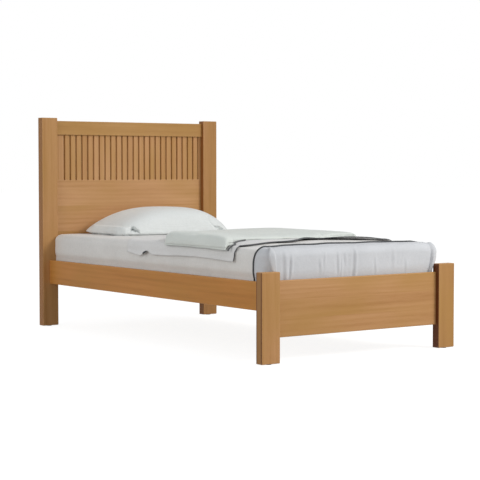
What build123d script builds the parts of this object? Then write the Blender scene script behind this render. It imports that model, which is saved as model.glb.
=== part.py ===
from build123d import *
from math import cos, pi, sin
import os

os.makedirs("parts", exist_ok=True)

# Bed frame overall. X runs across, +Y towards the headboard, +Z up, floor at zero.
bed_width = 1100.0
bed_length = 1980.0
head_height = 1090.0
foot_height = 390.0

# Posts
head_post_width = 90.0
foot_post_width = 96.0
head_post_depth = 45.0
foot_post_depth = 42.0
post_ease = 3.0
post_end_ease = 2.0
glide_radius = 14.0
glide_thickness = 3.0

# Side rails, butted on the faces of the posts
rail_thickness = 22.0
rail_height = 123.0
rail_bottom = 222.0
rail_inset = 40.0
rail_ease = 2.0

# Ledgers and the cross slats that they carry
ledger_width = 22.0
ledger_height = 22.0
ledger_lift = 3.0
ledger_end_gap = 30.0
bed_slat_count = 13
bed_slat_width = 90.0
bed_slat_thickness = 18.0
bed_slat_side_gap = 2.0
bed_slat_end_margin = 25.0
bed_slat_ease = 2.0

# Headboard. Setbacks are measured from the front faces of the head posts.
top_rail_height = 73.0
top_rail_drop = 15.0
top_rail_setback = 17.0
top_rail_ease = 2.5
top_rebate_height = 20.0
panel_setback = 28.0
panel_thickness = 16.0
panel_bottom = 226.0
panel_top = 764.0
post_rebate_width = 14.0
fit_gap = 0.3

# Upright strips of the headboard, with a shadow groove between each two
strip_thickness = 10.0
strip_round = 3.0
groove_count = 25
groove_width = 8.0
left_strip_width = 51.0
right_strip_width = 13.8

# Footboard panel
foot_panel_thickness = 20.0
foot_panel_setback = 20.0
foot_panel_bottom = 110.0
foot_panel_top = 352.0
foot_panel_round = 5.0

# Stub tenons of the footboard panel and of the top rail, with mortises in the posts
tenon_length = 20.0
tenon_gap = 0.2
foot_tenon_thickness = 10.0
foot_tenon_shoulder = 35.0
top_tenon_thickness = 12.0
top_tenon_shoulder = 10.0

# Hook joint: a steel plate let into each rail end hooks over a catch plate let into the post
hook_thickness = 2.5
hook_plate_length = 60.0
hook_plate_margin = 9.0
hook_lift = 46.0
hook_spacing = 32.0
hook_count = 2
hook_neck = 10.0
hook_drop = 6.0
hook_leg = 4.0
hook_gap = 0.3
slot_spare = 1.0
catch_thickness = 2.0
catch_width = 24.0
catch_margin = 19.0
plate_corner = 4.0
pocket_width = 8.0
pocket_depth = 8.0

# Mattress, loose between the rails and the posts
soft_gap = 0.3
mattress_thickness = 215.0
mattress_side_gap = 14.0
mattress_foot_gap = 12.0
mattress_head_gap = 9.0
mattress_round = 30.0

# Bedding. Drops are measured down from the mattress top, foot margins from the mattress foot and
# head margins from the pillow. The duvet lies askew, so its margins differ from side to side.
duvet_left_foot_margin = 321.0
duvet_left_head_margin = 629.0
duvet_right_foot_margin = 586.0
duvet_right_head_margin = 80.0
duvet_loft = 46.0
duvet_side = 20.0
duvet_drop = 14.0
duvet_round = 16.0
sheet_thickness = 4.0
sheet_foot_lap = 112.0
sheet_left_head_lap = 320.0
sheet_right_head_lap = 50.0
sheet_drop = 60.0
blanket_thickness = 5.0
blanket_lap = 121.0
blanket_drop = 180.0
pillow_width = 740.0
pillow_depth = 470.0
pillow_height = 143.0
pillow_wall_gap = 14.0
pillow_foot = 16.0
pillow_draw_in = 0.9
pillow_corner_power = 0.45
pillow_rows = 7
pillow_points = 24

sides = {"left": -1, "right": 1}
ends = {"foot": -1, "head": 1}
half_width = bed_width / 2
head_inner = half_width - head_post_width
foot_inner = half_width - foot_post_width
foot_front = -bed_length / 2
foot_back = foot_front + foot_post_depth
head_back = bed_length / 2
head_front = head_back - head_post_depth
rail_outer = half_width - rail_inset
rail_inner = rail_outer - rail_thickness
cut_past = 1.0


def block(x_limits, y_limits, z_limits):
    """A box between pairs of limits, given in any order."""
    limits = (x_limits, y_limits, z_limits)
    size = [abs(high - low) for low, high in limits]
    centre = [(high + low) / 2 for low, high in limits]
    return Pos(*centre) * Box(*size)


def end_edges(form):
    """The edges of the lowest and the highest face."""
    levels = form.edges().group_by(Axis.Z)
    return levels[0] + levels[-1]


def save(node, shape):
    export_step(shape, f"parts/{node}.step")


# Ledgers and cross slats
ledger_bottom = rail_bottom + ledger_lift
ledger_top = ledger_bottom + ledger_height
bed_slat_top = ledger_top + bed_slat_thickness
slat_half_length = rail_inner - bed_slat_side_gap
first_slat = foot_back + bed_slat_end_margin + bed_slat_width / 2
last_slat = head_front - bed_slat_end_margin - bed_slat_width / 2
slat_pitch = (last_slat - first_slat) / (bed_slat_count - 1)

for number in range(bed_slat_count):
    y = first_slat + slat_pitch * number
    slat = block(
        (-slat_half_length, slat_half_length),
        (y - bed_slat_width / 2, y + bed_slat_width / 2),
        (ledger_top, bed_slat_top),
    )
    save(f"bed_slat_{number + 1:02d}", chamfer(slat.edges().filter_by(Axis.X), bed_slat_ease))

for name, side in sides.items():
    ledger = block(
        (side * (rail_inner - ledger_width), side * rail_inner),
        (foot_back + ledger_end_gap, head_front - ledger_end_gap),
        (ledger_bottom, ledger_top),
    )
    save(f"ledger_{name}", ledger)

# Hook joints at the four corners
rail_top = rail_bottom + rail_height
hook_heights = [rail_bottom + hook_lift + hook_spacing * index for index in range(hook_count)]
slot_height = hook_neck + hook_drop + slot_spare
hook_middle = rail_inner + hook_thickness / 2
hook_plate_low = hook_heights[0] - hook_plate_margin
hook_plate_high = hook_heights[-1] + hook_neck + hook_plate_margin


def post_face(end):
    return head_front if end > 0 else foot_back


def hook_solid(side, end, rail_edge):
    """A plate of the hooks' thickness: its end in the rail has cut corners, the other follows rail_edge."""
    plane = Plane(origin=(side * hook_middle, post_face(end), 0), x_dir=(0, end, 0), z_dir=(end, 0, 0))
    inner_end = [
        (plate_corner - hook_plate_length, hook_plate_high),
        (-hook_plate_length, hook_plate_high - plate_corner),
        (-hook_plate_length, hook_plate_low + plate_corner),
        (plate_corner - hook_plate_length, hook_plate_low),
    ]
    outline = make_face(Polyline(*inner_end, *rail_edge, close=True))
    return extrude(plane * outline, hook_thickness / 2, both=True)


def hook_seat(side, end):
    return hook_solid(side, end, [(0, hook_plate_low), (0, hook_plate_high)])


def hook_plate(side, end):
    """Each hook is a neck that lies in its slot and a leg that drops behind the catch plate."""
    behind = catch_thickness + hook_gap
    reach = behind + hook_leg
    edge = [(0, hook_plate_low)]
    for low in hook_heights:
        edge += [(0, low), (behind, low), (behind, low - hook_drop), (reach, low - hook_drop)]
        edge += [(reach, low + hook_neck), (0, low + hook_neck)]
    return hook_solid(side, end, edge + [(0, hook_plate_high)])


def catch_blank(side, end):
    middle = side * hook_middle
    plate = block(
        (middle - catch_width / 2, middle + catch_width / 2),
        (post_face(end), post_face(end) + end * catch_thickness),
        (hook_heights[0] - catch_margin, hook_heights[-1] + slot_height + catch_margin),
    )
    return chamfer(plate.edges().filter_by(Axis.Y), plate_corner)


def catch_slots(side, end):
    middle = side * hook_middle
    half_slot = hook_thickness / 2 + hook_gap
    x_limits = (middle - half_slot, middle + half_slot)
    y_limits = (post_face(end), post_face(end) + end * catch_thickness)
    return [block(x_limits, y_limits, (low, low + slot_height)) for low in hook_heights]


def post_seat(side, end):
    """What a post loses at a hook joint: the catch plate's seat and the pocket for the hooks."""
    middle = side * hook_middle
    pocket = block(
        (middle - pocket_width / 2, middle + pocket_width / 2),
        (post_face(end), post_face(end) + end * (catch_thickness + pocket_depth)),
        (hook_heights[0] - hook_drop - slot_spare, hook_heights[-1] + slot_height + slot_spare),
    )
    return [catch_blank(side, end), pocket]


for name, side in sides.items():
    rail = block((side * rail_inner, side * rail_outer), (foot_back, head_front), (rail_bottom, rail_top))
    rail = chamfer(rail.edges().filter_by(Axis.Y), rail_ease)
    for end_name, end in ends.items():
        rail -= hook_seat(side, end)
        save(f"rail_hook_{end_name}_{name}", hook_plate(side, end))
        save(f"post_catch_{end_name}_{name}", catch_blank(side, end) - catch_slots(side, end))
    save(f"side_rail_{name}", rail)


def post_blank(side, inner, front, back, height):
    """A plain post with rounded corners and eased ends, standing on its glide."""
    post = block((side * inner, side * half_width), (front, back), (glide_thickness, height))
    post = fillet(post.edges().filter_by(Axis.Z), post_ease)
    return chamfer(end_edges(post), post_end_ease)


def tenons(inner, middle, thickness, low, high, gap=0.0):
    """A bar right through a rail or panel, whose two ends are its tenons; a gap makes the mortises."""
    reach = inner + tenon_length + gap
    half = thickness / 2 + gap
    return block((-reach, reach), (middle - half, middle + half), (low - gap, high + gap))


# Footboard: a panel tenoned between two short posts
foot_panel_front = foot_front + foot_panel_setback
foot_panel_back = foot_panel_front + foot_panel_thickness
foot_tenon = (
    foot_inner,
    (foot_panel_front + foot_panel_back) / 2,
    foot_tenon_thickness,
    foot_panel_bottom + foot_tenon_shoulder,
    foot_panel_top - foot_tenon_shoulder,
)
for name, side in sides.items():
    post = post_blank(side, foot_inner, foot_front, foot_back, foot_height)
    save(f"foot_post_{name}", post - post_seat(side, -1) - tenons(*foot_tenon, tenon_gap))

foot_panel = block(
    (-foot_inner, foot_inner), (foot_panel_front, foot_panel_back), (foot_panel_bottom, foot_panel_top)
)
foot_panel = fillet(foot_panel.edges().filter_by(Axis.X).group_by(Axis.Z)[-1], foot_panel_round)
foot_panel = chamfer(foot_panel.edges().filter_by(Axis.X).group_by(Axis.Z)[0], rail_ease)
save("footboard_panel", foot_panel + tenons(*foot_tenon))

# Head posts, rebated at the back for the boards of the headboard
top_rail_top = head_height - top_rail_drop
top_rail_bottom = top_rail_top - top_rail_height
rebate_top = top_rail_bottom + top_rebate_height
top_rail_front = head_front + top_rail_setback
panel_front = head_front + panel_setback
panel_back = panel_front + panel_thickness
top_tenon = (
    head_inner,
    (top_rail_front + head_back) / 2,
    top_tenon_thickness,
    rebate_top + top_tenon_shoulder,
    top_rail_top - top_tenon_shoulder,
)
for name, side in sides.items():
    post = post_blank(side, head_inner, head_front, head_back, head_height)
    rebate = block(
        (side * (head_inner - post_ease), side * (head_inner + post_rebate_width)),
        (panel_front, head_back + cut_past),
        (panel_bottom, rebate_top),
    )
    save(f"head_post_{name}", post - rebate - post_seat(side, 1) - tenons(*top_tenon, tenon_gap))

# The top rail overhangs the strips, whose ends stand in a rebate at its back
top_rail = block((-head_inner, head_inner), (top_rail_front, head_back), (top_rail_bottom, top_rail_top))
top_rail = chamfer(top_rail.edges().filter_by(Axis.X), top_rail_ease)
rebate = block(
    (-head_inner - cut_past, head_inner + cut_past),
    (panel_front, head_back + cut_past),
    (top_rail_bottom - cut_past, rebate_top),
)
save("headboard_top_rail", top_rail - rebate + tenons(*top_tenon))

# Boards of the headboard, lapped into the posts
panel_half = head_inner + post_rebate_width - fit_gap
strip_back = panel_front + strip_thickness
board_top = rebate_top - fit_gap
board_ends = (-panel_half, panel_half)
save("headboard_panel", block(board_ends, (panel_front, panel_back), (panel_bottom, panel_top)))
save("headboard_back_board", block(board_ends, (strip_back, panel_back), (panel_top, board_top)))

# Upright strips, glued on the back board: the rounded edges of neighbours make one groove
first_groove = left_strip_width + groove_width / 2 - head_inner
last_groove = head_inner - right_strip_width - groove_width / 2
groove_pitch = (last_groove - first_groove) / (groove_count - 1)
grooves = [first_groove + groove_pitch * index for index in range(groove_count)]
strip_lows = [-panel_half] + [x + groove_width / 2 for x in grooves]
strip_highs = [x - groove_width / 2 for x in grooves] + [panel_half]
strips = []
for limits in zip(strip_lows, strip_highs):
    strip = block(limits, (panel_front, strip_back), (panel_top, board_top))
    strips.append(fillet(strip.edges().filter_by(Axis.Z).group_by(Axis.Y)[0], strip_round))
save("headboard_slats", Compound(children=strips))

# Floor glides
glides = []
for side in sides.values():
    for inner, front, back in ((foot_inner, foot_front, foot_back), (head_inner, head_front, head_back)):
        place = Pos(side * (half_width + inner) / 2, (front + back) / 2, glide_thickness / 2)
        glides.append(place * Cylinder(glide_radius, glide_thickness))
save("floor_glides", Compound(children=glides))

# Mattress, and covers that follow its rounded form
mattress_bottom = bed_slat_top + soft_gap
mattress_top = mattress_bottom + mattress_thickness
mattress_foot = foot_back + mattress_foot_gap
mattress_head = head_front - mattress_head_gap
mattress_half = rail_inner - mattress_side_gap


def cushion(growth):
    """The mattress form, grown by a distance on every side."""
    half = mattress_half + growth
    y_limits = (mattress_foot - growth, mattress_head + growth)
    form = block((-half, half), y_limits, (mattress_bottom - growth, mattress_top + growth))
    return fillet(form.edges(), mattress_round + growth)


def band(half, left_limits, right_limits, drop, rise):
    """A slab across the bed, with its own place along the bed at the left and at the right side."""
    corners = [(-half, y) for y in left_limits] + [(half, y) for y in reversed(right_limits)]
    outline = make_face(Polyline(*corners, close=True))
    return Pos(0, 0, mattress_top - drop) * extrude(outline, drop + rise)


def cover(thickness, left_limits, right_limits, drop):
    """A layer just outside the mattress, inside such a slab and down to a hem."""
    layer = cushion(soft_gap + thickness) - cushion(soft_gap)
    return layer & band(half_width, left_limits, right_limits, drop, soft_gap + thickness)


pillow_middle = panel_front - pillow_wall_gap - pillow_depth / 2
pillow_front = pillow_middle - pillow_depth / 2
left_foot = mattress_foot + duvet_left_foot_margin
left_head = pillow_front - duvet_left_head_margin
right_foot = mattress_foot + duvet_right_foot_margin
right_head = pillow_front - duvet_right_head_margin
sheet_left = (left_foot - sheet_foot_lap, left_head + sheet_left_head_lap)
sheet_right = (right_foot - sheet_foot_lap, right_head + sheet_right_head_lap)
blanket_limits = (foot_front, mattress_foot + blanket_lap)
save("mattress", cushion(0))
save("top_sheet", cover(sheet_thickness, sheet_left, sheet_right, sheet_drop))
save("foot_blanket", cover(blanket_thickness, blanket_limits, blanket_limits, blanket_drop))

# The folded duvet lies on the sheet and laps over its sides
duvet_inside = soft_gap + sheet_thickness + soft_gap
duvet_half = mattress_half + duvet_inside + duvet_side
duvet_rise = duvet_inside + duvet_loft
duvet = band(duvet_half, (left_foot, left_head), (right_foot, right_head), duvet_drop, duvet_rise)
duvet = fillet(duvet.edges().group_by(Axis.Z)[-1], duvet_round)
save("folded_duvet", duvet - cushion(duvet_inside))


def pillow_row(height, share):
    """One level of the pillow: a rectangle with bulging sides and very round corners."""
    points = []
    for index in range(pillow_points):
        angle = 2 * pi * (index + 0.5) / pillow_points
        across = abs(cos(angle)) ** pillow_corner_power * (1 if cos(angle) > 0 else -1)
        along = abs(sin(angle)) ** pillow_corner_power * (1 if sin(angle) > 0 else -1)
        points.append((across * share * pillow_width / 2, along * share * pillow_depth / 2))
    return Pos(0, 0, height) * make_face(Polyline(*points, close=True))


# Pillow: a flattened underside, and rows that close over it like an ellipse
rows = [pillow_row(0, pillow_draw_in)]
for index in range(pillow_rows):
    turn = pi / 2 * index / pillow_rows
    rows.append(pillow_row(pillow_foot + (pillow_height - pillow_foot) * sin(turn), cos(turn)))
pillow = loft(rows, ruled=True)
save("pillow", Pos(0, pillow_middle, mattress_top + soft_gap) * pillow)
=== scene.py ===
import math

import bmesh
import bpy
import numpy as np
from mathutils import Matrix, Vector


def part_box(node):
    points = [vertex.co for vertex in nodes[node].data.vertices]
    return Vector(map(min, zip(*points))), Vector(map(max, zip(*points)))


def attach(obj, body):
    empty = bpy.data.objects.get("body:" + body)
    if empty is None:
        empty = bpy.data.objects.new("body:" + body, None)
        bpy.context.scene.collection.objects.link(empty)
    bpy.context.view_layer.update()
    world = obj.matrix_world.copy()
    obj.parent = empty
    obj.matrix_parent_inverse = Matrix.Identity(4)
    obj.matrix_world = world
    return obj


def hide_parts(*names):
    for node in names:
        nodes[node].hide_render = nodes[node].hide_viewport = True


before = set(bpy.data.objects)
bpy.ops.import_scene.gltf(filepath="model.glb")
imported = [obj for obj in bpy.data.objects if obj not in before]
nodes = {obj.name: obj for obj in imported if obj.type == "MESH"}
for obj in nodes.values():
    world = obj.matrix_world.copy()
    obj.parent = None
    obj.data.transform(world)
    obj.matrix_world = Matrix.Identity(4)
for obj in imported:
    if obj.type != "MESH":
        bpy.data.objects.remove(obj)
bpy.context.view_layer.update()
scene = bpy.context.scene
scene.view_settings.view_transform = "Standard"
print("frame loaded,", len(nodes), "nodes")

# Camera, where the photograph was taken from
cameraSetup = {
    "place": (-4.2056, -5.9830, 0.8261),
    "turn": 36.291,  # degrees from the bed's length towards its right side
    "down": 2.607,
    "lens": 111.46,
    "shift": (-0.05, -0.0083),
}
camera = bpy.data.objects.new("camera", bpy.data.cameras.new("camera"))
scene.collection.objects.link(camera)
scene.camera = camera
camera.location = cameraSetup["place"]
camera.rotation_euler = (math.radians(90 - cameraSetup["down"]), 0, -math.radians(cameraSetup["turn"]))
camera.data.lens = cameraSetup["lens"]
camera.data.shift_x, camera.data.shift_y = cameraSetup["shift"]


def linear(hexColour):
    # sRGB hex to linear: each channel through the sRGB curve
    channels = [int(hexColour[i : i + 2], 16) / 255 for i in (1, 3, 5)]
    return tuple(c / 12.92 if c <= 0.04045 else ((c + 0.055) / 1.055) ** 2.4 for c in channels) + (1.0,)


def addNode(tree, kind, settings=None, links=None):
    # kind is the node's type without the word ShaderNode; settings are its own attributes, or a ramp's
    # stops; links are its inputs, each a socket or a value
    node = tree.nodes.new("ShaderNode" + kind)
    for key, value in (settings or {}).items():
        if key == "stops":
            for place, _ in value[2:]:
                node.color_ramp.elements.new(place)
            for element, (place, colour) in zip(node.color_ramp.elements, sorted(value)):
                element.position, element.color = place, linear(colour)
        else:
            setattr(node, key, value)
    for key, value in (links or {}).items():
        if isinstance(value, bpy.types.NodeSocket):
            tree.links.new(value, node.inputs[key])
        else:
            node.inputs[key].default_value = value
    return node


def newMaterial(name):
    material = bpy.data.materials.new(name)
    material.use_nodes = True
    tree = material.node_tree
    tree.nodes.clear()
    return material, tree


def surface(material, links):
    # ends a material with the shader that all of these surfaces share, fed by links
    tree = material.node_tree
    shader = addNode(tree, "BsdfPrincipled", links=links)
    addNode(tree, "OutputMaterial", links={"Surface": shader.outputs[0]})
    return material


# Light: an even pale room, a soft lamp in front, above and to the right, and a wide weaker one on the left
light = {
    "room": "#F2F4F6",
    "roomStrength": 0.50,
    "lamps": {
        "softLampRight": {"place": (2.9, -4.9, 3.7), "size": 2.4, "watts": 225, "colour": "#FFFCF8"},
        "softLampLeft": {"place": (-5.2, -0.6, 2.0), "size": 3.2, "watts": 58, "colour": "#FFFDFA"},
    },
    "lampAim": (0.0, 0.0, 0.4),
    "floorColour": "#C9C7C4",
    "floorGlow": 0.88,  # how bright the floor looks before the lamps add to it
    "floorShade": "#9A9A9A",
}


def seenDirectly(tree, *rays):
    # 1 where one of these kinds of ray arrives, else 0
    path = addNode(tree, "LightPath")
    seen = path.outputs[rays[0]]
    for ray in rays[1:]:
        seen = addNode(tree, "Math", {"operation": "MAXIMUM"}, {0: seen, 1: path.outputs[ray]}).outputs[0]
    return seen


def layLight():
    world = bpy.data.worlds.new("room")
    scene.world = world
    world.use_nodes = True
    tree = world.node_tree
    tree.nodes.clear()
    seen = seenDirectly(tree, "Is Camera Ray", "Is Glossy Ray", "Is Transmission Ray")
    soft = addNode(
        tree, "Background", links={"Color": linear(light["room"]), "Strength": light["roomStrength"]}
    )
    white = addNode(tree, "Background", links={"Color": (1, 1, 1, 1), "Strength": 1.0})
    mix = addNode(tree, "MixShader", links={0: seen, 1: soft.outputs[0], 2: white.outputs[0]})
    addNode(tree, "OutputWorld", links={"Surface": mix.outputs[0]})

    for name, setup in light["lamps"].items():
        data = bpy.data.lights.new(name, "AREA")
        data.shape, data.size = "SQUARE", setup["size"]
        data.energy, data.color = setup["watts"], linear(setup["colour"])[:3]
        lamp = bpy.data.objects.new(name, data)
        scene.collection.objects.link(lamp)
        lamp.location = setup["place"]
        lamp.rotation_euler = (Vector(light["lampAim"]) - lamp.location).to_track_quat("-Z", "Y").to_euler()

    reach = 40.0
    mesh = bpy.data.meshes.new("floor")
    mesh.from_pydata(
        [(-reach, -reach, 0), (reach, -reach, 0), (reach, reach, 0), (-reach, reach, 0)], [], [(0, 1, 2, 3)]
    )
    floor = bpy.data.objects.new("floor", mesh)
    scene.collection.objects.link(floor)
    material, tree = newMaterial("pale floor")
    seen = seenDirectly(tree, "Is Camera Ray", "Is Glossy Ray")
    plain = addNode(tree, "BsdfDiffuse", links={"Color": linear(light["floorColour"])})
    shade = addNode(tree, "BsdfDiffuse", links={"Color": linear(light["floorShade"])})
    glow = addNode(tree, "Emission", links={"Color": (1, 1, 1, 1), "Strength": light["floorGlow"]})
    shown = addNode(tree, "AddShader", links={0: shade.outputs[0], 1: glow.outputs[0]})
    mix = addNode(tree, "MixShader", links={0: seen, 1: plain.outputs[0], 2: shown.outputs[0]})
    addNode(tree, "OutputMaterial", links={"Surface": mix.outputs[0]})
    mesh.materials.append(material)


layLight()
print("camera and light set")


# Stained beech under satin lacquer: long soft streaks, faint growth rings, fine fibres and short dark pores
beech = {
    "dark": "#A87745",
    "middle": "#BC8C5B",
    "light": "#C8996A",
    "olive": "#B18646",
    "worn": "#CFA476",
    "ringSpacing": 0.022,  # real rings are 2 to 3 mm apart, drawn coarser so that they show
    "ringStretch": 0.05,
    "streakSizes": ((0.045, 0.80), (0.010, 0.30)),  # each across the grain and along it
    "streakWeights": (0.42, 0.20),
    "fibreSize": (0.0016, 0.055),
    "poreSize": (0.0028, 0.016),  # real pores are under 1 mm wide, drawn coarser
    "driftSize": (0.16, 0.45),
    "fibreWeight": 0.20,
    "poreWeight": -0.05,
    "tonePlaces": (0.25, 0.43, 0.63),  # where dark, middle and light stand on the ramp
    "gloss": (0.42, 0.60),  # roughness of satin lacquer, between the fibres and on them
    "edgeWidth": 0.004,  # how far in from an edge the stain is rubbed
    "sideShade": 0.0,  # how much painted shade darkens the faces that look sideways
    # the dark brown that this painted shade mixes towards
    "sideColour": "#85501F",
    "sideLine": 0.0,  # how dark a painted shade line lies along the upright edges of those faces
}
# the posts' sideways faces carry painted shade, darkest on the right foot post, with a painted dark line
# along the left foot post's upright edges
postBeech = {**beech, "sideShade": 0.6}
footLeftBeech = {**beech, "sideShade": 0.35, "sideColour": "#5E3412", "sideLine": 1.0}
rightBeech = {**beech, "dark": "#9C6D3C", "middle": "#B08152", "light": "#BC8D5E", "sideShade": 0.8}
footRightBeech = {**rightBeech, "sideShade": 0.95, "sideColour": "#5E2E12"}
panelBeech = {**beech, "dark": "#AE7C4A", "middle": "#C29263", "light": "#CE9F72"}
railBeech = {
    **beech,
    "dark": "#AA6E30",
    "middle": "#C1823F",
    "light": "#CD8F4C",
    "olive": "#B7823A",
    "worn": "#D09A5C",
}
topBeech = {**beech, "dark": "#A07440", "middle": "#B48850", "light": "#C0945C", "olive": "#AC803E"}
# Planed pine without stain: paler, with closer and stronger rings
pine = {
    **beech,
    "dark": "#BF9762",
    "middle": "#D6B685",
    "light": "#E2C89C",
    "olive": "#D2B27A",
    "worn": "#E8D3AE",
    "ringSpacing": 0.009,
}
axisNumber = {"X": 0, "Y": 1, "Z": 2}


def patternScale(grain, size):
    # turns a pattern's size in metres, across the grain and along it, into a scale for each axis
    scale = [1 / size[0]] * 3
    scale[axisNumber[grain]] = 1 / size[1]
    return tuple(scale)


def woodMaterial(name, nodeName, grain, look, seed, boards=None):
    low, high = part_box(nodeName)
    middle, half = (low + high) / 2, (high - low) / 2
    random = np.random.default_rng(seed)
    material, tree = newMaterial(name)
    source = addNode(tree, "TexCoord")
    coord = place = source.outputs["Object"]
    boardTone = 0.5
    # each strip or glued board is its own piece of timber: the pattern jumps from one to the next
    if boards:
        axes = addNode(tree, "SeparateXYZ", links={0: coord})
        step = addNode(
            tree, "Math", {"operation": "SUBTRACT"}, {0: axes.outputs[boards["axis"]], 1: boards["first"]}
        )
        step = addNode(tree, "Math", {"operation": "DIVIDE"}, {0: step.outputs[0], 1: boards["pitch"]})
        step = addNode(tree, "Math", {"operation": "FLOOR"}, {0: step.outputs[0]})
        chance = addNode(tree, "TexWhiteNoise", {"noise_dimensions": "1D"}, {"W": step.outputs[0]})
        jump = addNode(
            tree, "VectorMath", {"operation": "MULTIPLY"}, {0: chance.outputs["Color"], 1: (0.9, 0.9, 0.9)}
        )
        place = addNode(tree, "VectorMath", {"operation": "ADD"}, {0: coord, 1: jump.outputs[0]}).outputs[0]
        boardTone = chance.outputs["Value"]

    def alongGrain(kind, size, links=None, offset=(0, 0, 0)):
        # a texture as large as size says, across the grain and along it
        at = {"Vector": place, "Location": offset, "Scale": patternScale(grain, size)}
        at = addNode(tree, "Mapping", links=at)
        return addNode(tree, kind, links={"Vector": at.outputs[0], "Scale": 1.0, **(links or {})})

    # rings round a pith that lies outside the board, squeezed along the grain
    pith = np.array(middle) + random.uniform(-0.03, 0.03, 3) + np.array([0.05, 0.11, -0.07])
    squeeze = np.ones(3)
    squeeze[axisNumber[grain]] = look["ringStretch"]
    ringPlace = addNode(
        tree,
        "Mapping",
        links={"Vector": place, "Location": tuple(-pith * squeeze), "Scale": tuple(squeeze)},
    )
    rings = addNode(
        tree,
        "TexWave",
        {"wave_type": "RINGS", "rings_direction": grain},
        {
            "Vector": ringPlace.outputs[0],
            "Scale": 2 * math.pi / 20 / look["ringSpacing"],
            "Distortion": 9.0,
            "Detail": 3.0,
            "Detail Scale": 0.35,
            "Detail Roughness": 0.6,
        },
    )
    tone = addNode(
        tree, "Math", {"operation": "MULTIPLY_ADD"}, {0: rings.outputs["Fac"], 1: 0.07, 2: -0.02}
    )
    tone = addNode(
        tree,
        "Math",
        {"operation": "MULTIPLY_ADD"},
        {0: boardTone, 1: boards["spread"] if boards else 0.0, 2: tone.outputs[0]},
    )
    for size, weight in zip(look["streakSizes"], look["streakWeights"]):
        offset = tuple(random.uniform(-9, 9, 3))
        streak = alongGrain("TexNoise", size, {"Detail": 3.0, "Roughness": 0.5}, offset)
        tone = addNode(
            tree,
            "Math",
            {"operation": "MULTIPLY_ADD"},
            {0: streak.outputs["Fac"], 1: weight, 2: tone.outputs[0]},
        )
    fibres = alongGrain("TexNoise", look["fibreSize"], {"Detail": 2.0})
    pores = alongGrain("TexVoronoi", look["poreSize"])
    pore = addNode(
        tree,
        "MapRange",
        links={
            "Value": pores.outputs["Distance"],
            "From Min": 0.12,
            "From Max": 0.3,
            "To Min": 1.0,
            "To Max": 0.0,
        },
    )
    for part, weight in (
        (fibres.outputs["Fac"], look["fibreWeight"]), (pore.outputs[0], look["poreWeight"])
    ):
        tone = addNode(
            tree, "Math", {"operation": "MULTIPLY_ADD"}, {0: part, 1: weight, 2: tone.outputs[0]}
        )
    stops = list(zip(look["tonePlaces"], (look["dark"], look["middle"], look["light"])))
    colour = addNode(tree, "ValToRGB", {"stops": stops}, {"Fac": tone.outputs[0]}).outputs[0]

    # broad drifts of a greener tone, as stain takes unevenly
    drift = alongGrain("TexNoise", look["driftSize"], {"Detail": 2.0})
    drift = addNode(
        tree,
        "MapRange",
        links={"Value": drift.outputs["Fac"], "From Min": 0.40, "From Max": 0.72, "To Max": 0.6},
    )
    colour = addNode(
        tree, "Mix", {"data_type": "RGBA"}, {0: drift.outputs[0], 6: colour, 7: linear(look["olive"])}
    ).outputs[2]
    # nearness to an edge of the board: the second smallest of the distances to its faces
    centred = addNode(tree, "VectorMath", {"operation": "SUBTRACT"}, {0: coord, 1: tuple(middle)})
    centred = addNode(tree, "VectorMath", {"operation": "ABSOLUTE"}, {0: centred.outputs[0]})
    inside = addNode(tree, "VectorMath", {"operation": "SUBTRACT"}, {0: tuple(half), 1: centred.outputs[0]})
    inside = addNode(tree, "SeparateXYZ", links={0: inside.outputs[0]})
    smaller = addNode(tree, "Math", {"operation": "MINIMUM"}, {0: inside.outputs[0], 1: inside.outputs[1]})
    larger = addNode(tree, "Math", {"operation": "MAXIMUM"}, {0: inside.outputs[0], 1: inside.outputs[1]})
    larger = addNode(tree, "Math", {"operation": "MINIMUM"}, {0: larger.outputs[0], 1: inside.outputs[2]})
    second = addNode(tree, "Math", {"operation": "MAXIMUM"}, {0: smaller.outputs[0], 1: larger.outputs[0]})
    rub = addNode(tree, "TexNoise", links={"Vector": coord, "Scale": 35.0, "Detail": 3.0})
    rub = addNode(
        tree, "Math", {"operation": "MULTIPLY"}, {0: rub.outputs["Fac"], 1: look["edgeWidth"] * 2}
    )
    worn = addNode(
        tree,
        "MapRange",
        links={
            "Value": second.outputs[0],
            "From Min": 0.0,
            "From Max": rub.outputs[0],
            "To Min": 0.5,
            "To Max": 0.0,
        },
    )
    colour = addNode(
        tree, "Mix", {"data_type": "RGBA"}, {0: worn.outputs[0], 6: colour, 7: linear(look["worn"])}
    ).outputs[2]
    # painted shade: faces that look sideways (along X) are mixed towards the side colour; where a line is
    # asked for, it is darker still within a centimetre of their front and back edges
    if look["sideShade"]:
        normal = addNode(tree, "SeparateXYZ", links={0: source.outputs["Normal"]})
        facing = addNode(tree, "Math", {"operation": "ABSOLUTE"}, {0: normal.outputs["X"]})
        facing = addNode(tree, "MapRange", links={"Value": facing.outputs[0], "From Min": 0.5})
        depth = addNode(
            tree,
            "MapRange",
            links={
                "Value": inside.outputs["Y"],
                "From Min": 0.003,
                "From Max": 0.010,
                "To Min": max(look["sideShade"], look["sideLine"]),
                "To Max": look["sideShade"],
            },
        )
        shade = addNode(
            tree, "Math", {"operation": "MULTIPLY"}, {0: facing.outputs[0], 1: depth.outputs[0]}
        )
        colour = addNode(
            tree,
            "Mix",
            {"data_type": "RGBA"},
            {0: shade.outputs[0], 6: colour, 7: linear(look["sideColour"])},
        ).outputs[2]

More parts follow.
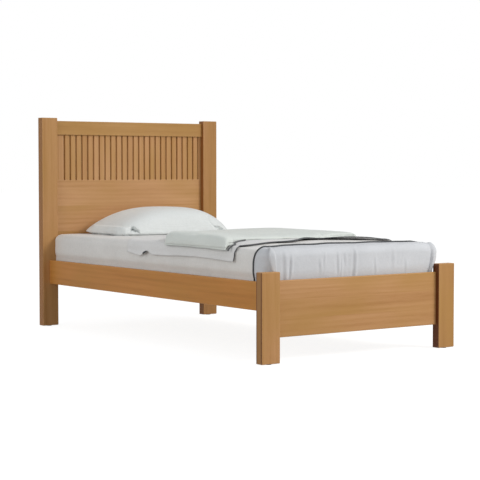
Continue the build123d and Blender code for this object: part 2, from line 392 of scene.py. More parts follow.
    gloss = {"Value": fibres.outputs["Fac"], "To Min": look["gloss"][0], "To Max": look["gloss"][1]}
    gloss = addNode(tree, "MapRange", links=gloss)
    height = addNode(
        tree, "Math", {"operation": "MULTIPLY_ADD"}, {0: pore.outputs[0], 1: -0.6, 2: fibres.outputs["Fac"]}
    )
    bump = addNode(tree, "Bump", links={"Strength": 0.2, "Distance": 0.0005, "Height": height.outputs[0]})
    links = {"Base Color": colour, "Roughness": gloss.outputs[0], "Normal": bump.outputs[0]}
    return surface(material, {**links, "Specular IOR Level": 0.25})


def paint(nodeName, material):
    mesh = nodes[nodeName].data
    mesh.materials.clear()
    mesh.materials.append(material)


def steelMaterial(name):
    # zinc plated pressed steel: a soft grey sheen with faint spangle, duller in patches
    material, tree = newMaterial(name)
    coord = addNode(tree, "TexCoord").outputs["Object"]
    cloud = addNode(tree, "TexNoise", links={"Vector": coord, "Scale": 140.0, "Detail": 3.0})
    stops = [(0.3, "#A9ABAE"), (0.7, "#CDCFD1")]
    colour = addNode(tree, "ValToRGB", {"stops": stops}, {"Fac": cloud.outputs["Fac"]}).outputs[0]
    rough = addNode(tree, "MapRange", links={"Value": cloud.outputs["Fac"], "To Min": 0.28, "To Max": 0.5})
    return surface(material, {"Base Color": colour, "Metallic": 1.0, "Roughness": rough.outputs[0]})


def glideMaterial(name):
    # moulded black polyethylene, matt from use on floors
    material, tree = newMaterial(name)
    coord = addNode(tree, "TexCoord").outputs["Object"]
    scuff = addNode(tree, "TexNoise", links={"Vector": coord, "Scale": 260.0, "Detail": 4.0})
    stops = [(0.4, "#1C1A18"), (0.75, "#3A3733")]
    colour = addNode(tree, "ValToRGB", {"stops": stops}, {"Fac": scuff.outputs["Fac"]}).outputs[0]
    rough = addNode(tree, "MapRange", links={"Value": scuff.outputs["Fac"], "To Min": 0.45, "To Max": 0.75})
    bump = addNode(
        tree, "Bump", links={"Strength": 0.2, "Distance": 0.0003, "Height": scuff.outputs["Fac"]}
    )
    links = {"Base Color": colour, "Roughness": rough.outputs[0], "Normal": bump.outputs[0]}
    return surface(material, links)


timberOf = {  # the way of the grain, the timber, and where one glued board ends and the next begins
    "head_post_left": ("Z", postBeech, None),
    "head_post_right": ("Z", rightBeech, None),
    "foot_post_left": ("Z", footLeftBeech, None),
    "foot_post_right": ("Z", footRightBeech, None),
    "headboard_slats": ("Z", beech, {"axis": "X", "first": -0.4385, "pitch": 0.03532, "spread": 0.16}),
    "headboard_panel": ("X", panelBeech, {"axis": "Z", "first": 0.226, "pitch": 0.1345, "spread": 0.07}),
    "headboard_back_board": ("X", pine, None),
    "headboard_top_rail": ("X", topBeech, None),
    "footboard_panel": ("X", beech, {"axis": "Z", "first": 0.103, "pitch": 0.083, "spread": 0.07}),
    "side_rail": ("Y", railBeech, None),
    "ledger": ("Y", pine, None),
    "bed_slat": ("X", pine, None),
}


def finishFrame():
    steel = steelMaterial("zinc plated steel")
    for number, nodeName in enumerate(sorted(nodes)):
        kind = next((k for k in timberOf if nodeName.startswith(k)), None)
        if kind:
            grain, look, boards = timberOf[kind]
            words = ("planed pine " if look is pine else "stained beech ") + nodeName.replace("_", " ")
            paint(nodeName, woodMaterial(words, nodeName, grain, look, 40 + number, boards))
        elif nodeName.startswith(("rail_hook", "post_catch")):
            paint(nodeName, steel)
        elif nodeName == "floor_glides":
            paint(nodeName, glideMaterial("black polyethylene"))


finishFrame()
print("frame finished in wood, steel and plastic")

# Helpers for shapes: points are worked out as whole arrays
def smooth(start, end, value):
    # 0 before start, 1 after end, and t * t * (3 - 2t) between
    t = np.clip((value - start) / (end - start), 0, 1)
    return t * t * (3 - 2 * t)


def curveThrough(knots, values, at):
    # cubic Hermite curve through the values, each slope the mean of those on its two sides
    knots, values = np.asarray(knots, float), np.asarray(values, float)
    slopes = np.gradient(values, knots)
    at = np.clip(at, knots[0], knots[-1])
    i = np.clip(np.searchsorted(knots, at) - 1, 0, len(knots) - 2)
    gap = knots[i + 1] - knots[i]
    t = (at - knots[i]) / gap
    held = (1 + 2 * t) * (1 - t) ** 2 * values[i] + t * t * (3 - 2 * t) * values[i + 1]
    return held + gap * (t * (1 - t) ** 2 * slopes[i] + t * t * (t - 1) * slopes[i + 1])


def ripple(x, y, seed, size, count=9):
    # the sum of sine waves of random direction and phase, with lengths near size, about -1 to 1
    random = np.random.default_rng(seed)
    total = 0.0
    for _ in range(count):
        angle, phase = random.uniform(0, 2 * math.pi, 2)
        wave = 2 * math.pi / (size * random.uniform(0.6, 1.6))
        total = total + np.sin(wave * (x * math.cos(angle) + y * math.sin(angle)) + phase)
    return total / math.sqrt(count)


def gridFaces(rows, columns, wrap=False, flip=False):
    # quads between neighbouring points, numbered row by row; wrap joins the last column to the first
    i, j = np.meshgrid(np.arange(rows - 1), np.arange(columns if wrap else columns - 1), indexing="ij")
    k = (j + 1) % columns
    quads = np.stack(
        [i * columns + j, i * columns + k, (i + 1) * columns + k, (i + 1) * columns + j], -1
    ).reshape(-1, 4)
    return quads[:, ::-1] if flip else quads


def newPiece(name, points, faces, cloth=None):
    # cloth holds each point's place on the flat cloth in metres, kept as the UV map
    mesh = bpy.data.meshes.new(name)
    mesh.from_pydata(points.reshape(-1, 3).tolist(), [], [list(map(int, face)) for face in faces])
    if cloth is not None:
        corners = np.empty(len(mesh.loops), dtype=np.int32)
        mesh.loops.foreach_get("vertex_index", corners)
        mesh.uv_layers.new(name="cloth").data.foreach_set("uv", cloth.reshape(-1, 2)[corners].ravel())
    mesh.polygons.foreach_set("use_smooth", np.ones(len(mesh.polygons), dtype=bool))
    piece = bpy.data.objects.new(name, mesh)
    scene.collection.objects.link(piece)
    return piece


def joinRims(piece, gap=0.00005):
    # merges points that coincide where two grids meet and turns every face outwards
    work = bmesh.new()
    work.from_mesh(piece.data)
    bmesh.ops.remove_doubles(work, verts=work.verts, dist=gap)
    bmesh.ops.recalc_face_normals(work, faces=work.faces)
    work.to_mesh(piece.data)
    work.free()


def thicken(piece, thickness, offset):
    wall = piece.modifiers.new("wall", "SOLIDIFY")
    wall.thickness, wall.offset = thickness, offset


def tubeAlong(name, path, radius, sides=10):
    # a ring of points round each place of the path, at right angles to it, with a point at both ends
    ahead = np.gradient(path, axis=0)
    ahead /= np.linalg.norm(ahead, axis=1, keepdims=True)
    side = np.cross(ahead, (0, 0, 1.0))
    side /= np.linalg.norm(side, axis=1, keepdims=True)
    up = np.cross(side, ahead)
    angle = np.linspace(0, 2 * math.pi, sides, endpoint=False)[None, :, None]
    reach = radius * np.ones(len(path))
    reach[[0, -1]] = 1e-5
    rings = (
        path[:, None]
        + reach[:, None, None] * (side[:, None] * np.cos(angle) + up[:, None] * np.sin(angle))
    )
    length = np.concatenate([[0], np.cumsum(np.linalg.norm(np.diff(path, axis=0), axis=1))])
    cloth = np.stack(np.broadcast_arrays(length[:, None], angle[..., 0] * np.max(radius)), -1)
    piece = newPiece(name, rings, gridFaces(len(path), sides, wrap=True), cloth)
    joinRims(piece)
    return piece


# Screws: countersunk heads that hold the slats, the ledgers and the headboard's back board
screw = {
    "radius": 0.0045,
    "rise": 0.0006,
    "recess": 0.0016,
    "sides": 12,
    "slatInset": 0.013,
    "ledgerCount": 8,
    "ledgerInset": 0.06,
    "boardCount": 7,
    "boardInset": (0.05, 0.03),  # from the board's sides and from its top and foot
}


def makeScrews():
    # rings from the rim to the middle: radius as a share of the head's, height as a share of its rise or
    # recess
    angle = np.linspace(0, 2 * math.pi, screw["sides"], endpoint=False)
    shares = np.array([1.0, 0.9, 0.45, 0.35, 0.02])
    heights = np.array([-screw["rise"], screw["rise"], screw["rise"], -screw["recess"], -screw["recess"]])
    head = np.stack(
        [
            screw["radius"] * shares[:, None] * np.cos(angle),
            screw["radius"] * shares[:, None] * np.sin(angle),
            heights[:, None] + 0 * angle,
        ],
        -1,
    ).reshape(-1, 3)
    places = []
    for nodeName in sorted(n for n in nodes if n.startswith("bed_slat")):
        low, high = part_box(nodeName)
        for x in (low[0] + screw["slatInset"], high[0] - screw["slatInset"]):
            places.append(((x, (low[1] + high[1]) / 2, high[2]), "Z"))
    for nodeName, x, axis in (("ledger_left", 1, "X"), ("ledger_right", 0, "-X")):
        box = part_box(nodeName)
        for y in np.linspace(
            box[0][1] + screw["ledgerInset"], box[1][1] - screw["ledgerInset"], screw["ledgerCount"]
        ):
            places.append(((box[x][0], y, (box[0][2] + box[1][2]) / 2), axis))
    low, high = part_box("headboard_back_board")
    insetX, insetZ = screw["boardInset"]
    for x in np.linspace(low[0] + insetX, high[0] - insetX, screw["boardCount"]):
        for z in (low[2] + insetZ, high[2] - insetZ):
            places.append(((x, high[1], z), "Y"))
    turns = {
        "Z": head, "X": head[:, [2, 0, 1]], "-X": head[:, [2, 1, 0]] * (-1, 1, 1), "Y": head[:, [1, 2, 0]]
    }
    points = np.stack([turns[axis] + place for place, axis in places])
    one = gridFaces(len(shares), screw["sides"], wrap=True)
    rows = np.arange(len(places))[:, None, None] * len(head)
    faces = (one[None] + rows).reshape(-1, 4)
    middles = (np.arange(screw["sides"])[None] + rows[:, :, 0] + len(head) - screw["sides"]).tolist()
    rims = (np.arange(screw["sides"])[None] + rows[:, :, 0]).tolist()
    piece = newPiece("frameScrews", points, faces.tolist() + middles + rims)
    joinRims(piece)
    piece.data.materials.append(steelMaterial("zinc plated screws"))
    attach(piece, "bed_frame")


makeScrews()
print("screws set")

mattressLow, mattressHigh = (np.array(corner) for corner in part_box("mattress"))
railTop = np.array(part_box("side_rail_left")[1])[2]
block = {
    "halfWidth": mattressHigh[0],
    "halfLength": (mattressHigh[1] - mattressLow[1]) / 2,
    "middle": (mattressHigh[1] + mattressLow[1]) / 2,
    "top": mattressHigh[2],
    "bottom": mattressLow[2],
    "round": 0.032,
    "crown": 0.003,
    "bulge": 0.009,  # how far the sides stand out above the rails
    "bulgeFade": 0.045,  # the height over which they come out
    "headSquare": 0.25,  # under 1 makes the head corners squarer in plan
    "footTuck": 0.013,  # how far the right foot corner is drawn in
    "footSink": 0.007,  # how far the top gives way above that corner
}
flatAcross = block["halfWidth"] - block["round"]
flatAlong = block["halfLength"] - block["round"]
turn = block["round"] * math.pi / 2  # the way round the edge, a quarter circle


def onMattress(across, along, lift):
    # the point that a tape reaches from the middle of the top, so far across and so far along, raised by
    # lift:
    # flat to the edge, then round a quarter circle, then straight down; at a corner the tape's two
    # overruns give the way round the corner by their ratio and the way down by the larger one
    overX = np.maximum(np.abs(across) - flatAcross, 0)
    overY = np.maximum(np.abs(along) - flatAlong, 0)
    over = np.maximum(overX, overY)
    ratio = np.minimum(overX, overY) / np.maximum(over, 1e-9)
    way = np.where(overX >= overY, ratio, 2 - ratio) * math.pi / 4
    tilt = np.minimum(over / block["round"], math.pi / 2)
    drop = np.maximum(over - turn, 0)
    square = np.where(along > 0, block["headSquare"], 1.0)
    planX, planY = np.cos(way) ** square, np.maximum(np.sin(way), 0) ** square
    normal = np.stack(
        [np.sign(across) * np.sin(tilt) * planX, np.sign(along) * np.sin(tilt) * planY, np.cos(tilt)], -1
    )
    flatX = np.clip(across, -flatAcross, flatAcross)
    flatY = np.clip(along, -flatAlong, flatAlong)
    crown = block["crown"] * (1 - (flatX / flatAcross) ** 2) * (1 - (flatY / flatAlong) ** 2)
    z = block["top"] - block["round"] * (1 - np.cos(tilt)) - drop
    out = block["bulge"] * smooth(railTop, railTop + block["bulgeFade"], z) * np.sin(tilt)
    out = out * np.where(along < 0, 1 - 0.6 * np.sin(way), 1.0)  # the foot end is held in by the blanket
    inner = np.stack([flatX, flatY + block["middle"], block["top"] - block["round"] - drop + crown], -1)
    points = inner + normal * (block["round"] + out + lift)[..., None]
    tuck = smooth(0.40, 0.47, points[..., 0]) * smooth(-0.88, -0.93, points[..., 1])
    # drawn in at the right foot
    points[..., 0] -= block["footTuck"] * tuck * smooth(0.415, 0.355, points[..., 2])
    sink = smooth(0.36, 0.47, points[..., 0]) * smooth(-0.80, -0.93, points[..., 1])
    points[..., 2] -= block["footSink"] * sink * smooth(0.40, 0.46, points[..., 2])
    return points


def tapeTo(z):
    # how far past the flat top a tape has run when it reaches this height on the side
    return turn + block["top"] - block["round"] - z


cottonShell = {
    "quality": 6,
    "mass": 0.3,
    "tension_stiffness": 12,
    "compression_stiffness": 12,
    "shear_stiffness": 6,
    "bending_stiffness": 0.35,
    "use_pressure": True,
}


def inflate(piece, voxel, pressure, cap, swell, frames=20):
    # blows the piece up as closed cloth, moves no point further than cap, and leaves no simulation on it
    bpy.context.view_layer.objects.active = piece
    remesh = piece.modifiers.new("remesh", "REMESH")
    remesh.mode, remesh.voxel_size, remesh.use_smooth_shade = "VOXEL", voxel, True
    graph = bpy.context.evaluated_depsgraph_get()
    even = bpy.data.meshes.new_from_object(piece.evaluated_get(graph))
    piece.modifiers.clear()
    piece.data = even
    before = np.empty(len(even.vertices) * 3)
    even.vertices.foreach_get("co", before)
    cloth = piece.modifiers.new("cloth", "CLOTH")
    settings = cloth.settings
    for key, value in cottonShell.items():
        setattr(settings, key, value)
    settings.uniform_pressure_force = pressure
    settings.shrink_min = -swell
    settings.effector_weights.gravity = 0
    cloth.point_cache.frame_start, cloth.point_cache.frame_end = 1, frames
    for number in range(1, frames + 1):
        scene.frame_set(number)
    graph = bpy.context.evaluated_depsgraph_get()
    blown = bpy.data.meshes.new_from_object(piece.evaluated_get(graph))
    after = np.empty(len(blown.vertices) * 3)
    blown.vertices.foreach_get("co", after)
    piece.modifiers.clear()
    move = (after - before).reshape(-1, 3)
    far = np.linalg.norm(move, axis=1, keepdims=True)
    move *= np.minimum(1, cap / np.maximum(far, 1e-9))
    even.vertices.foreach_set("co", before + move.ravel())
    scene.frame_set(1)
    even.polygons.foreach_set("use_smooth", np.ones(len(even.polygons), dtype=bool))


def settle(piece):
    # makes the piece twice as fine and keeps the result as its mesh; gives back its points and their
    # normals
    fine = piece.modifiers.new("fine", "SUBSURF")
    fine.levels = fine.render_levels = 1
    mesh = bpy.data.meshes.new_from_object(piece.evaluated_get(bpy.context.evaluated_depsgraph_get()))
    piece.modifiers.clear()
    piece.data = mesh
    place, out = np.empty((2, len(mesh.vertices) * 3))
    mesh.vertices.foreach_get("co", place)
    mesh.vertex_normals.foreach_get("vector", out)
    return place.reshape(-1, 3), out.reshape(-1, 3)


def press(piece, place):
    # moves the piece's points to new places
    piece.data.vertices.foreach_set("co", place.ravel())
    piece.data.update()


# Cloths: percale sheets and a brushed duvet cover, all plain weave cotton
def clothMaterial(name, colour, shade, thread=0.0014, sheen=0.25, crumple=0.5, onCloth=True):
    # woven cotton: threads cross over and under, slubs vary their brightness, soft creases catch light
    # real threads are 0.3 mm, drawn coarser so that the weave shows
    material, tree = newMaterial(name)
    source = addNode(tree, "TexCoord")
    coord = source.outputs["UV" if onCloth else "Object"]
    threads = []
    for direction in ("X", "Y"):
        threads.append(
            addNode(
                tree,
                "TexWave",
                {"bands_direction": direction},
                {
                    "Vector": coord,
                    "Scale": 2 * math.pi / 20 / thread,
                    "Distortion": 0.6,
                    "Detail": 1.0,
                    "Detail Scale": 0.8,
                },
            ).outputs["Fac"]
        )
    weave = addNode(tree, "Math", {"operation": "MAXIMUM"}, {0: threads[0], 1: threads[1]})
    place = source.outputs["Object"]
    slub = addNode(
        tree, "TexNoise", links={"Vector": place, "Scale": 90.0, "Detail": 3.0, "Roughness": 0.6}
    )
    cloud = addNode(tree, "TexNoise", links={"Vector": place, "Scale": 7.0, "Detail": 3.0})
    tone = addNode(tree, "Math", {"operation": "MULTIPLY"}, {0: slub.outputs["Fac"], 1: 0.35})
    tone = addNode(
        tree, "Math", {"operation": "MULTIPLY_ADD"}, {0: cloud.outputs["Fac"], 1: 0.45, 2: tone.outputs[0]}
    )
    tone = addNode(
        tree, "Math", {"operation": "MULTIPLY_ADD"}, {0: weave.outputs[0], 1: 0.2, 2: tone.outputs[0]}
    )
    ramp = addNode(tree, "ValToRGB", {"stops": [(0.3, shade), (0.7, colour)]}, {"Fac": tone.outputs[0]})
    crease = addNode(
        tree,
        "TexNoise",
        links={"Vector": place, "Scale": 16.0, "Detail": 4.0, "Roughness": 0.5, "Distortion": 0.4},
    )
    folds = addNode(
        tree, "Bump", links={"Strength": crumple, "Distance": 0.006, "Height": crease.outputs["Fac"]}
    )
    fine = addNode(
        tree,
        "Bump",
        links={
            "Strength": 0.25, "Distance": 0.0004, "Height": weave.outputs[0], "Normal": folds.outputs[0]
        },
    )
    rough = addNode(tree, "MapRange", links={"Value": weave.outputs[0], "To Min": 0.95, "To Max": 0.8})
    links = {"Base Color": ramp.outputs[0], "Roughness": rough.outputs[0], "Normal": fine.outputs[0]}
    return surface(material, {**links, "Sheen Weight": sheen, "Sheen Roughness": 0.4})


def bindingMaterial(name):
    # dark grey twill binding: fine slanting ribs, slightly paler where it is rubbed
    material, tree = newMaterial(name)
    source = addNode(tree, "TexCoord")
    slant = addNode(tree, "Mapping", links={"Vector": source.outputs["UV"], "Rotation": (0, 0, 0.9)})
    ribs = addNode(
        tree,
        "TexWave",
        links={"Vector": slant.outputs[0], "Scale": 2 * math.pi / 20 / 0.0016, "Distortion": 0.3},
    )
    rub = addNode(
        tree, "TexNoise", links={"Vector": source.outputs["Object"], "Scale": 30.0, "Detail": 3.0}
    )
    tone = addNode(
        tree, "Math", {"operation": "MULTIPLY_ADD"}, {0: ribs.outputs["Fac"], 1: 0.4, 2: rub.outputs["Fac"]}
    )
    ramp = addNode(
        tree, "ValToRGB", {"stops": [(0.4, "#33363A"), (1.1, "#5A5D60")]}, {"Fac": tone.outputs[0]}
    )
    bump = addNode(tree, "Bump", links={"Strength": 0.4, "Distance": 0.0004, "Height": ribs.outputs["Fac"]})
    rough = addNode(tree, "MapRange", links={"Value": tone.outputs[0], "To Min": 0.7, "To Max": 0.95})
    links = {"Base Color": ramp.outputs[0], "Roughness": rough.outputs[0], "Normal": bump.outputs[0]}
    return surface(material, {**links, "Sheen Weight": 0.15})


binding = bindingMaterial("dark grey twill binding")


def makeMattress():
    step = 0.011
    reachX = flatAcross + tapeTo((block["top"] + block["bottom"]) / 2)
    reachY = flatAlong + tapeTo((block["top"] + block["bottom"]) / 2)
    rows = np.linspace(-reachY, reachY, round(2 * reachY / step))
    columns = np.linspace(-reachX, reachX, round(2 * reachX / step))
    along, across = np.meshgrid(rows, columns, indexing="ij")
    crease = (
        0.0012
        * ripple(across, along, 11, 0.16)
        * smooth(0, 0.05, reachX - np.abs(across))
        * smooth(0, 0.05, reachY - np.abs(along))
    )
    top = onMattress(across, along, crease)
    under = onMattress(across, along, 0 * across)
    under[..., 2] = block["top"] + block["bottom"] - under[..., 2]
    middle = (block["top"] + block["bottom"]) / 2
    under[..., 0] = np.where(
        under[..., 2] < middle,
        np.clip(under[..., 0], -block["halfWidth"], block["halfWidth"]),
        under[..., 0],
    )
    for edge in ((0, slice(None)), (-1, slice(None)), (slice(None), 0), (slice(None), -1)):
        under[edge] = top[edge]
    count = top[..., 0].size
    faces = np.concatenate(
        [gridFaces(len(rows), len(columns)), gridFaces(len(rows), len(columns), flip=True) + count]
    )
    flat = np.stack([across, along], -1)
    piece = newPiece("mattressBody", np.stack([top, under]), faces, np.stack([flat, flat]))
    joinRims(piece, 0.0002)
    piece.data.materials.append(clothMaterial("white percale fitted sheet", "#ECEBE9", "#DCDBD9"))
    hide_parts("mattress")
    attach(piece, "mattress")
    return piece


makeMattress()
print("mattress made")

# Top sheet: hangs over the long sides with a wavy hem, its foot edge bound in dark grey and lying askew
sheet = {
    "lift": 0.003,
    "thickness": 0.0016,
    "points": (150, 190),
    "hemFrom": -0.69,
    "hemTo": 0.185,
    "flickAt": 0.022,  # where the hem is kicked out and turned up
    "flickWidth": 0.018,
    "hemPlaces": (-0.70, -0.674, -0.548, -0.428, -0.263, -0.092, -0.025, 0.004, 0.026, 0.060, 0.123, 0.190),
    "hemHeights": (0.420, 0.420, 0.423, 0.427, 0.425, 0.420, 0.423, 0.435, 0.424, 0.4130, 0.415, 0.4235),
    "rightHem": 0.418,
    "footAcross": (
        -0.53, -0.49, -0.460, -0.443, -0.373, -0.271, -0.129, -0.06, 0.13, 0.231, 0.324, 0.400, 0.450, 0.60
    ),
    "footAlong": (
        -0.703, -0.706, -0.706, -0.692, -0.663, -0.599, -0.536, -0.535, -0.432, -0.410, -0.440, -0.540,
        -0.620, -0.640,
    ),
    "headAcross": (-0.53, -0.46, -0.36, -0.20, 0.0, 0.25, 0.60),
    "headAlong": (0.185, 0.215, 0.330, 0.410, 0.440, 0.450, 0.440),
    "bindingAcross": (-0.53, -0.44, -0.10, -0.02, 0.10, 0.20, 0.60),
    "bindingRadius": (0.0019, 0.0022, 0.0024, 0.0038, 0.0034, 0.0020, 0.0018),
}


def makeTopSheet():
    rows = np.linspace(0, 1, sheet["points"][0])[:, None]
    columns = np.linspace(0, 1, sheet["points"][1])[None, :]
    hemAt = sheet["hemFrom"] + (sheet["hemTo"] - sheet["hemFrom"]) * rows
    left = -(flatAcross + tapeTo(curveThrough(sheet["hemPlaces"], sheet["hemHeights"], hemAt)))
    right = flatAcross + tapeTo(sheet["rightHem"] + 0.006 * ripple(hemAt, 0 * hemAt, 5, 0.3))
    across = left + (right - left) * columns
    foot = curveThrough(sheet["footAcross"], sheet["footAlong"], across)
    head = curveThrough(sheet["headAcross"], sheet["headAlong"], across)
    along = foot + (head - foot) * rows
    down = np.maximum(np.abs(across) - flatAcross - turn, 0)
    free = smooth(0.0, 0.06, down)  # the hanging part stands off the mattress
    wave = 0.5 + 0.5 * ripple(along, 0.4 * across, 21, 0.12)
    lift = sheet["lift"] + free * (0.002 + 0.006 * wave)
    lift = lift + 0.0012 * ripple(across, along, 22, 0.22) * smooth(0, 0.05, rows)
    flick = np.exp(-(((along - sheet["flickAt"]) / sheet["flickWidth"]) ** 2)) * free * (across < 0)
    lift = lift + 0.016 * flick + 0.003 * np.exp(-(((across - left) / 0.012) ** 2))
    near = np.exp(-(((along - foot) / 0.05) ** 2))  # the bound edge lifts off in long shallow folds
    lift = lift + near * (
        0.003 + 0.009 * smooth(-0.1, 0.2, across) * (
            0.6 + 0.4 * np.sin(across * 21)
        ) * (1 - smooth(0.40, 0.47, across))
    )
    points = onMattress(across, along, np.maximum(lift, 0.0015))
    piece = newPiece("topSheet", points, gridFaces(*sheet["points"]), np.stack([across, along], -1))
    thicken(piece, sheet["thickness"], 1)
    piece.data.materials.append(
        clothMaterial("white percale top sheet", "#EAEAEA", "#DADADA", crumple=0.35)
    )
    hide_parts("top_sheet")
    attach(piece, "mattress")
    radius = np.interp(across[0], sheet["bindingAcross"], sheet["bindingRadius"])
    trims = [tubeAlong("topSheetBinding", onMattress(across[0], along[0], lift[0] + 0.9 * radius), radius)]
    # the hem turns up for a hand's width; a dark grey tube along it is painted shadow, standing for the
    # shade in the turned-up notch
    turned = np.linspace(0.042, 0.002, 24)
    swell = 0.0004 + 0.0036 * smooth(0.042, 0.022, turned) * smooth(0.002, 0.012, turned)
    hem = -(flatAcross + tapeTo(curveThrough(sheet["hemPlaces"], sheet["hemHeights"], turned)))
    reach = 0.006 + 0.016 * np.exp(-(((turned - sheet["flickAt"]) / sheet["flickWidth"]) ** 2))
    trims.append(tubeAlong("topSheetTurnedHem", onMattress(hem, turned, reach), swell))
    for trim in trims:
        trim.data.materials.append(binding)
        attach(trim, "mattress")
    return piece


makeTopSheet()
print("top sheet laid")

# Foot blanket: drapes over the foot end and both sides, tucked behind the rails, its head edge bound
blanket = {
    "lift": 0.0035,
    "thickness": 0.0022,
    "hem": 0.302,
    "headAcross": (
        -0.66, -0.56, -0.50, -0.46, -0.40, -0.34, -0.24, -0.13, 0.0, 0.10, 0.20, 0.30, 0.40, 0.50, 0.66
    ),
    "headAlong": (
        -0.838, -0.845, -0.852, -0.872, -0.872, -0.845, -0.832, -0.838, -0.838, -0.826, -0.838, -0.852,
        -0.880, -0.880, -0.860,
    ),
    "foldAcross": (-0.402, -0.365, -0.209, -0.181, -0.108, -0.085, -0.068, -0.011, 0.105, 0.212, 0.284),
    "foldDepth": (0.0030, 0.0040, 0.0030, 0.0024, 0.0034, 0.0026, 0.0024, 0.0044, 0.0022, 0.0026, 0.0020),
    "foldWidth": (0.010, 0.0065, 0.009, 0.006, 0.008, 0.0055, 0.0075, 0.009, 0.007, 0.010, 0.008),
    "foldStart": (0.012, 0.030, 0.045, 0.012, 0.020, 0.055, 0.020, 0.012, 0.050, 0.020, 0.060),
    "foldEnd": (0.19, 0.16, 0.14, 0.12, 0.16, 0.18, 0.11, 0.19, 0.16, 0.13, 0.17),
    "cornerStep": 0.013,  # how far the folded corner stands off the side
    "points": (90, 420),
    "bindingAcross": (-0.66, -0.46, -0.40, 0.38, 0.42, 0.66),
    "bindingRadius": (0.0034, 0.0034, 0.0038, 0.0036, 0.0012, 0.0007),
}


def makeFootBlanket():
    reachX = flatAcross + tapeTo(blanket["hem"])
    reachY = flatAlong + tapeTo(blanket["hem"])
    across = np.linspace(-reachX, reachX, blanket["points"][1])[None, :]
    rows = np.linspace(0, 1, blanket["points"][0])[:, None]
    head = curveThrough(blanket["headAcross"], blanket["headAlong"], across)
    along = -reachY + (head + reachY) * rows
    across = across + 0 * along
    overY = np.maximum(-along - flatAlong, 0)
    overX = np.maximum(np.abs(across) - flatAcross, 0)
    onEnd = smooth(0, 0.02, overY - overX)  # 1 on the foot end, 0 on the sides
    lift = blanket["lift"] + 0.0012 * ripple(across, along, 31, 0.2)
    slant = 0.05 * np.maximum(overY - turn, 0)
    folds = zip(*(blanket[key] for key in ("foldAcross", "foldDepth", "foldWidth", "foldStart", "foldEnd")))
    for number, (place, depth, width, start, end) in enumerate(folds):
        away = (across - place - slant * (-1) ** number) / width
        reach = smooth(start, start + 0.05, overY) * (1 - 0.85 * smooth(end - 0.05, end, overY))
        lift = lift + onEnd * reach * depth * (
            1.1 * np.exp(-((away - 1) ** 2)) - 0.7 * np.exp(-((away + 0.4) ** 2))
        )
    # the foot corners: the end's spare cloth is folded over the side and stops at a slanting edge
    overlap = np.minimum(overX, overY) / np.maximum(np.maximum(overX, overY), 1e-9)
    corner = smooth(0.0, 0.02, np.minimum(overX, overY))
    foldAt = 0.98 - 0.62 * smooth(turn - 0.02, turn + 0.09, overY)
    past = np.where(overX >= overY, 1.0, (overlap - foldAt) / 0.10)
    lift = lift + corner * blanket["cornerStep"] * (1 - smooth(0, 1, past))
    edge = np.exp(-(((along - head) / 0.03) ** 2)) * (1 - smooth(0, turn, overX))
    lift = lift + 0.003 * edge
    points = onMattress(across, along, np.maximum(lift, 0.0015))
    piece = newPiece("footBlanket", points, gridFaces(*blanket["points"]), np.stack([across, along], -1))
    thicken(piece, blanket["thickness"], 1)
    piece.data.materials.append(
        clothMaterial("pale blue grey cotton blanket", "#D6D9DE", "#C7CACF", thread=0.002, crumple=0.4)
    )
    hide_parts("foot_blanket")
    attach(piece, "mattress")
    radius = np.interp(across[-1], blanket["bindingAcross"], blanket["bindingRadius"])
    trim = tubeAlong(
        "footBlanketBinding", onMattress(across[-1], along[-1], lift[-1] + 1.4 * radius), radius
    )
    trim.data.materials.append(binding)
    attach(trim, "mattress")
    return piece


makeFootBlanket()
print("foot blanket laid")

# Duvet: folded, thick at the left end and thinning to the right, lying askew
duvet = {
    "points": 120,
    "left": -0.503,
    "right": 0.497,
    "footAcross": (-0.50, -0.44, -0.34, -0.24, -0.15, 0.05, 0.30, 0.50),
    "footAlong": (-0.668, -0.630, -0.490, -0.385, -0.330, -0.320, -0.340, -0.370),
    "headAcross": (-0.50, -0.35, -0.10, 0.20, 0.50),
    "headAlong": (-0.140, 0.030, 0.200, 0.330, 0.405),
    "topAcross": (-0.50, -0.38, -0.20, 0.0, 0.25, 0.50),
    "topHeights": (0.5335, 0.5280, 0.5165, 0.5125, 0.5120, 0.5110),
    "base": 0.4865,
    "hang": 0.021,  # how far the left end droops past the edge of the mattress
    "lip": 0.010,  # height of the lower layer's rounded edge on the left face
    "bindingAcross": (-0.504, -0.498, -0.485, -0.465, -0.440, -0.400, -0.340, -0.100),
    "bindingHeights": (0.466, 0.471, 0.480, 0.4875, 0.4900, 0.4905, 0.4905, 0.4905),
}


